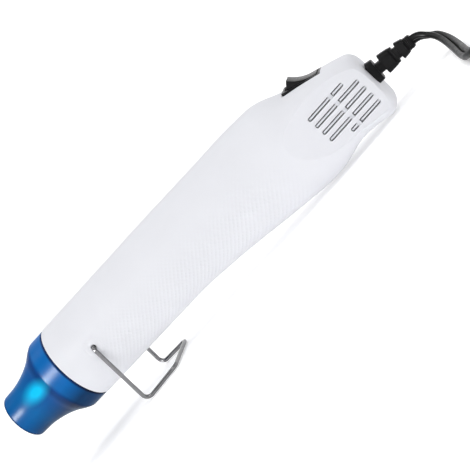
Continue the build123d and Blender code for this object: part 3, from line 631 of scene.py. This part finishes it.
# %% [markdown]
# Metals differ by their drawing marks. Wire and tube are drawn through a die, so their scratches
# run along them: noise that is stretched along the piece gives that for the tube and the motor's can; the
# wires' marks are not stretched.

# %% Metals
SCRATCH = 0.0006


def drawn_metal(name, colour, roughness, stretch=(1, 1, 1)):
    """Metal with scratches, drawn out along the axes that the stretch makes smaller."""
    material, tree, shader = start_finish(name, colour, roughness, 1.0)
    place = object_place(tree)
    drawn = tree.nodes.new("ShaderNodeMapping")
    drawn.inputs["Scale"].default_value = stretch
    tree.links.new(place, drawn.inputs["Vector"])
    marks = grain(tree, drawn.outputs["Vector"], SCRATCH, 4.0)
    tree.links.new(spread(tree, marks, roughness * 0.7, roughness * 1.35), shader.inputs["Roughness"])
    wander(tree, shader, grain(tree, place, 0.004), colour, 0.08)
    relief_of(tree, shader, marks, 0.00002, 0.4)
    return material


finishes["bright_steel"] = drawn_metal("bright_steel", (0.20, 0.20, 0.205), 0.12)
finishes["tube_steel"] = drawn_metal("tube_steel", (0.46, 0.45, 0.43), 0.34, (0.12, 1, 1))
finishes["nichrome"] = drawn_metal("nichrome", (0.26, 0.22, 0.20), 0.38)
finishes["motor_steel"] = drawn_metal("motor_steel", (0.52, 0.52, 0.54), 0.28, (0.2, 1, 1))
finishes["brass"] = drawn_metal("brass", (0.66, 0.47, 0.20), 0.24)
finishes["screw_steel"] = drawn_metal("screw_steel", (0.19, 0.19, 0.20), 0.36)

# %% [markdown]
# Black parts are never plain black. The switch's plastic has a soft sheen, and the strain relief,
# the plug and the lead's skin are duller, with a grain like fine sand.

# %% Moulded plastics and rubber
def moulded(name, colour, roughness, grain_size, depth, share=0.15):
    """A moulded or pressed material with a grain of this size and depth."""
    material, tree, shader = start_finish(name, colour, roughness)
    place = object_place(tree)
    relief_of(tree, shader, grain(tree, place, grain_size), depth, 0.6)
    handled = spread(tree, grain(tree, place, grain_size * 9), roughness * 0.82, roughness * 1.2)
    tree.links.new(handled, shader.inputs["Roughness"])
    wander(tree, shader, grain(tree, place, 0.008), colour, share)
    shader.inputs["Specular IOR Level"].default_value = 0.12
    return material


finishes["black_plastic"] = moulded("black_plastic", (0.007, 0.007, 0.008), 0.3, 0.0004, 0.00002)
finishes["black_rubber"] = moulded("black_rubber", (0.006, 0.006, 0.0065), 0.38, 0.0003, 0.00004)
finishes["fan_plastic"] = moulded("fan_plastic", (0.022, 0.022, 0.025), 0.38, 0.0005, 0.00003)
finishes["mica"] = moulded("mica", (0.44, 0.37, 0.24), 0.30, 0.0015, 0.00006, 0.25)
finishes["heat_proof"] = moulded("heat_proof", (0.56, 0.52, 0.44), 0.62, 0.0006, 0.00008)
finishes["board"] = moulded("board", (0.16, 0.085, 0.03), 0.45, 0.0004, 0.00003, 0.2)

for subpart in frame["record"]["subparts"]:
    node = frame["nodes"][subpart["node"]]
    node.data.materials.clear()
    node.data.materials.append(finishes[subpart["material_slot"]])
lead.data.materials.clear()
lead.data.materials.append(finishes["black_rubber"])
strap.data.materials.clear()
strap.data.materials.append(finishes["black_plastic"])
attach(strap, "housing")
print("finishes", len(finishes), "view", bpy.context.scene.view_settings.view_transform)

# %% [markdown]
# Moulded pieces have no sharp edges: the tool that cuts the mould leaves a small radius on each.
# A copy of the solid's mesh is merged, its flat faces are made whole again, and a bevel modifier
# rounds every edge. The copy then stands for the solid.

# %% Round the edges of the small mouldings
def finish_piece(piece, body, material_slot, replaced=(), smooth=35):
    """Give a new piece its shading, its finish, the body that carries it and what it stands for."""
    select_only(piece)
    bpy.ops.object.shade_smooth_by_angle(angle=math.radians(smooth))
    piece.data.materials.clear()
    piece.data.materials.append(finishes[material_slot])
    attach(piece, body)
    if replaced:
        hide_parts(*replaced)
    print(piece.name, "faces", len(piece.data.polygons))


FLAT_WITHIN = math.radians(2)
EDGE_FROM = math.radians(32)


def rounded_copy(node_name, name, radius, body, material_slot):
    """A copy of a solid's mesh with rounded edges, which stands for the solid."""
    piece = bpy.data.objects.new(name, frame["nodes"][node_name].data.copy())
    bpy.context.scene.collection.objects.link(piece)
    select_only(piece)
    bpy.ops.object.mode_set(mode="EDIT")
    bpy.ops.mesh.select_all(action="SELECT")
    bpy.ops.mesh.remove_doubles(threshold=MERGE)
    bpy.ops.mesh.dissolve_limited(angle_limit=FLAT_WITHIN)
    bpy.ops.mesh.normals_make_consistent(inside=False)
    bpy.ops.mesh.select_all(action="DESELECT")
    bpy.ops.object.mode_set(mode="OBJECT")
    rounding = piece.modifiers.new("edge_radius", "BEVEL")
    rounding.width = radius
    rounding.segments = 3
    rounding.limit_method = "ANGLE"
    rounding.angle_limit = EDGE_FROM
    rounding.use_clamp_overlap = True
    bpy.ops.object.modifier_apply(modifier="edge_radius")
    finish_piece(piece, body, material_slot, [node_name], smooth=40)
    return piece


rocker = rounded_copy("switch_rocker", "rocker_cap", 0.00035, "rocker", "black_plastic")
bezel = rounded_copy("switch_body", "switch_frame", 0.00025, "housing", "black_plastic")
# The bezel lies flush at its rear, so both turn a little about the rocker's axis and sink in
ROCKER_AXIS = Vector((0.08278, 0, 0.0377))
BEZEL_SUNK = 0.0003
BEZEL_TURN = math.radians(2.2)
pin_centre = ROCKER_AXIS - Vector((0, 0, BEZEL_SUNK))
turned = Matrix.Rotation(BEZEL_TURN, 4, "Y") @ Matrix.Translation(-ROCKER_AXIS)
for piece in (rocker, bezel):
    piece.data.transform(Matrix.Translation(pin_centre) @ turned)
# The two pins slim down past the rocker's sides, so that they turn freely in the sunk bezel
PIN_START = 0.00525
PIN_SLIMMING = 0.35
for vertex in rocker.data.vertices:
    if abs(vertex.co.y) > PIN_START:
        vertex.co.x += (pin_centre.x - vertex.co.x) * PIN_SLIMMING
        vertex.co.z += (pin_centre.z - vertex.co.z) * PIN_SLIMMING
rounded_copy("plug_body", "plug_grip", 0.0006, "housing", "black_rubber")

# %% [markdown]
# The nozzle is turned: every cut across it is a ring. So it starts as a circle at the collar and
# is extruded ring by ring along its outline, each ring made wider or narrower. The outline runs
# from the collar forward over the taper, round the mouth's lip, back along the inner wall and out
# over the spigot that the two halves of the housing trap.

# %% Rings joined to a skin
def stretched_rings(name, stations, vertices, squareness=1.0):
    """A piece with a ring at each station along x, which gives millimetres: the distance, the
    half width and the half height. The last station is the first one again, or the ends are
    filled. A squareness below 1 presses the rings' points towards their corners."""
    deselect()
    bpy.ops.mesh.primitive_circle_add(vertices=vertices, radius=1)
    piece = bpy.context.object
    piece.name = name
    stations = [[measure / 1000 for measure in station] for station in stations]
    first, half_width, half_height = stations[0]
    for vertex in piece.data.vertices:
        x, y, _ = vertex.co
        level = math.copysign(abs(x) ** squareness, x)
        upright = math.copysign(abs(y) ** squareness, y)
        vertex.co = (first, level * half_width, upright * half_height)
    bpy.ops.object.mode_set(mode="EDIT")
    bpy.ops.mesh.select_all(action="SELECT")
    for (before, width_0, height_0), (after, width_1, height_1) in zip(stations, stations[1:]):
        bpy.ops.mesh.extrude_region_move(TRANSFORM_OT_translate={"value": (after - before, 0, 0)})
        wider = (1, width_1 / width_0, height_1 / height_0)
        bpy.ops.transform.resize(value=wider, center_override=(after, 0, 0))
    bpy.ops.mesh.select_all(action="SELECT")
    bpy.ops.mesh.remove_doubles(threshold=MERGE)
    bpy.ops.mesh.fill_holes(sides=0)
    bpy.ops.mesh.normals_make_consistent(inside=False)
    bpy.ops.object.mode_set(mode="OBJECT")
    return piece


def smooth_between(places, steps=4):
    """Places on a smooth line through these, where each run leaves as the one before came in."""
    result = []
    for number in range(len(places) - 1):
        before = places[max(number - 1, 0)]
        start, end = places[number], places[number + 1]
        after = places[min(number + 2, len(places) - 1)]
        for step in range(steps):
            t = step / steps
            result.append(tuple(
                b + (c - a) / 2 * t
                + (2 * a - 5 * b + 4 * c - d) / 2 * t**2
                + (3 * b - a - 3 * c + d) / 2 * t**3
                for a, b, c, d in zip(before, start, end, after)
            ))
    return result + [tuple(places[-1])]


# %% The nozzle
# Each place on the outline is millimetres along the tool from the mouth, and its radius
COLLAR_RADIUS = 21.0
SPIGOT_RADIUS = 18.85
GROOVE_RADIUS = 19.85
NOZZLE_WALL = 1.55
LEAST_BORE = 10.95
taper = smooth_between([
    (30.5, 20.95), (29.2, 20.4), (27, 19.25), (24, 17.5), (20, 15.75),
    (16, 14.45), (12, 13.45), (8, 12.8), (4, 12.55), (0.8, 12.45),
])
outline = [(40.3, SPIGOT_RADIUS), (40.3, 20.1), (40.15, 20.6), (39.8, 20.9)]
outline += [(x, COLLAR_RADIUS) for x in (39.4, 39, 35, 31.4)]
outline += [(30.9, 20.99), *taper]
outline += [(0.3, 12.33), (0.06, 12.1), (0, 11.8), (0, 11.45), (0.1, 11.15), (0.4, 11.0)]
outline += [(x, max(radius - NOZZLE_WALL, LEAST_BORE)) for x, radius in reversed(taper[4:-1])]
outline += [(31, 17.3), (40, 17.15), (48.7, 17.15), (48.7, SPIGOT_RADIUS), (47.4, SPIGOT_RADIUS)]
outline += [(47.4, GROOVE_RADIUS), (45.8, GROOVE_RADIUS), (45.8, SPIGOT_RADIUS), (40.3, SPIGOT_RADIUS)]
nozzle = stretched_rings("blue_nozzle", [(x, radius, radius) for x, radius in outline], vertices=96)
nozzle.data.transform(tool_to_scene)
finish_piece(nozzle, "housing", "blue_clear", ["nozzle"])

# %% [markdown]
# The strain relief is a soft tail that is cut from its sides in turn, so that it bends in all
# directions but can't kink. It is made in the same way as the nozzle, with rings that are rounded
# squares and ends that are filled.

# %% The strain relief
RELIEF_ROOT = (235.0, 0, -10.2)
RELIEF_DROOP = math.radians(6.8)
# Distance from the head, half width and half height
relief_rings = [
    (-4.4, 4.4, 5.4), (-2.45, 4.4, 5.4), (-2.4, 3.1, 3.9), (0.1, 3.1, 3.9), (0.12, 4.1, 5.4),
    (0.3, 4.2, 5.5), (3.4, 3.7, 5.25), (3.6, 3.55, 5.0), (3.65, 3.2, 2.8), (3.9, 3.1, 2.6),
    (6.3, 3.1, 2.6), (6.55, 3.1, 2.8), (6.6, 3.1, 4.7), (6.8, 3.25, 4.9), (11.7, 3.3, 4.35),
    (12.0, 3.15, 4.2), (12.4, 2.4, 4.1), (13.5, 2.4, 4.0), (13.6, 2.3, 2.8), (15.4, 2.3, 2.8),
    (15.5, 3.0, 4.1), (15.7, 3.2, 4.3), (19.2, 3.2, 3.55), (19.4, 3.05, 3.4), (19.6, 2.2, 3.2),
    (20.9, 2.2, 3.05), (21.0, 2.85, 3.0), (21.2, 3.0, 3.15), (22.3, 2.95, 3.0), (22.8, 2.75, 2.75),
    (23.0, 2.3, 2.3),
]
relief = stretched_rings("relief_tail", relief_rings, vertices=48, squareness=0.6)
relief_place = Matrix.Translation(Vector(RELIEF_ROOT) / 1000) @ Matrix.Rotation(RELIEF_DROOP, 4, "Y")
relief.data.transform(tool_to_scene @ relief_place)
finish_piece(relief, "housing", "black_rubber", ["strain_relief"])

# %% [markdown]
# Behind each vent slot stands a slat that hides the motor and lets the air pass on both sides of
# it, and behind the slats lies a steel gauze that keeps dust out. A grid of cells becomes wire
# with the wireframe modifier, which gives even crossings with less work than modelling wires.

# %% Slats and gauze behind the vents
CHEEK_LEAN = math.radians(10.2)
CHEEK_START = (190.0, 21.0)
# Front, rear and height of each slot, and the front and rear of each panel of gauze
SLOTS = [
    (204.5, 225.8, -2.1),
    (204.5, 231.3, -6.3),
    (204.5, 231.3, -10.5),
    (204.5, 231.3, -14.7),
    (213.6, 231.3, -18.9),
]
PANELS = ((203.2, 217.15), (219.25, 232.3))
PANEL_MIDDLE = -10.5
GAUZE_HEIGHT = 0.0196
GAUZE_CELL = 0.0011
GAUZE_WIRE = 0.0004
GAUZE_BEHIND = 2.75
SLAT_DEEP = 0.0020
SLAT_WIDTH = 0.0009
SLAT_EDGE = 0.00025
SLAT_BEHIND = 1.6
SLAT_SHORTER = 0.1
SLAT_LEAST = 1.5


def cheek_place(side, x, z, depth):
    """Where a flat piece goes that lies this deep behind a cheek, at this x and height."""
    inset = CHEEK_START[1] - math.tan(CHEEK_LEAN) * (x - CHEEK_START[0]) - depth / math.cos(CHEEK_LEAN)
    spot = Matrix.Translation(Vector((x, side * inset, z)) / 1000)
    return tool_to_scene @ spot @ Matrix.Rotation(-side * CHEEK_LEAN, 4, "Z")


def gauze_panel(name, side, front, rear):
    """One panel of gauze behind a cheek, from its front to its rear end along the tool."""
    deselect()
    length = (rear - front) / 1000
    cells = [round(side_length / GAUZE_CELL) for side_length in (length, GAUZE_HEIGHT)]
    bpy.ops.mesh.primitive_grid_add(x_subdivisions=cells[0], y_subdivisions=cells[1], size=1)
    panel = bpy.context.object
    panel.name = name
    for vertex in panel.data.vertices:
        vertex.co = (vertex.co.x * length, 0, vertex.co.y * GAUZE_HEIGHT)
    wires = panel.modifiers.new("wires", "WIREFRAME")
    wires.thickness = GAUZE_WIRE
    wires.use_even_offset = True
    bpy.ops.object.modifier_apply(modifier="wires")
    panel.data.transform(cheek_place(side, (front + rear) / 2, PANEL_MIDDLE, GAUZE_BEHIND))
    finish_piece(panel, "housing", "tube_steel")


def slat_set(name, side, front, rear):
    """The slats in front of one panel of gauze, each a bar with rounded edges."""
    bars = []
    for slot_front, slot_rear, z in SLOTS:
        start, end = max(front, slot_front + SLAT_SHORTER), min(rear, slot_rear - SLAT_SHORTER)
        if end - start < SLAT_LEAST:
            continue
        deselect()
        bpy.ops.mesh.primitive_cube_add(size=1)
        bar = bpy.context.object
        for vertex in bar.data.vertices:
            x, y, height = vertex.co
            vertex.co = (x * (end - start) / 1000, y * SLAT_DEEP, height * SLAT_WIDTH)
        edge = bar.modifiers.new("edge", "BEVEL")
        edge.width = SLAT_EDGE
        edge.segments = 2
        bpy.ops.object.modifier_apply(modifier="edge")
        bar.data.transform(cheek_place(side, (start + end) / 2, z, SLAT_BEHIND))
        bars.append(bar)
    select_only(*bars)
    bpy.ops.object.join()
    bars[0].name = name
    finish_piece(bars[0], "housing", "white_abs")


for side, side_name in ((-1, "near"), (1, "far")):
    for number, (front, rear) in enumerate(PANELS):
        gauze_panel(f"gauze_{side_name}_{number}", side, front, rear)
        slat_set(f"slats_{side_name}_{number}", side, front, rear)

# %% [markdown]
# Round each hole of the wire the housing is a little thicker: a low ring with a soft crest. It is
# turned about the cross axis and set at a fixed height over the barrel's crest.

# %% Rings round the wire's holes
PIVOT_X = 60.2
BOSS_TOP = 21.42
# Height over the crest of the barrel, and distance from the wire's axis
ring_outline = [
    (-0.05, 1.9), (0.02, 2.3), (0.16, 2.9), (0.21, 3.4), (0.16, 3.9), (0, 4.3), (-0.3, 4.4), (-0.3, 1.9),
    (-0.05, 1.9),
]
for side, side_name in ((-1, "near"), (1, "far")):
    stations = [(height, radius, radius) for height, radius in ring_outline]
    ring = stretched_rings(f"pivot_ring_{side_name}", stations, vertices=64)
    for vertex in ring.data.vertices:
        height, level, upright = vertex.co
        vertex.co = (PIVOT_X / 1000 + level, side * (BOSS_TOP / 1000 + height), upright)
    ring.data.transform(tool_to_scene)
    select_only(ring)
    bpy.ops.object.mode_set(mode="EDIT")
    bpy.ops.mesh.select_all(action="SELECT")
    bpy.ops.mesh.normals_make_consistent(inside=False)
    bpy.ops.object.mode_set(mode="OBJECT")
    finish_piece(ring, "housing", "white_abs")
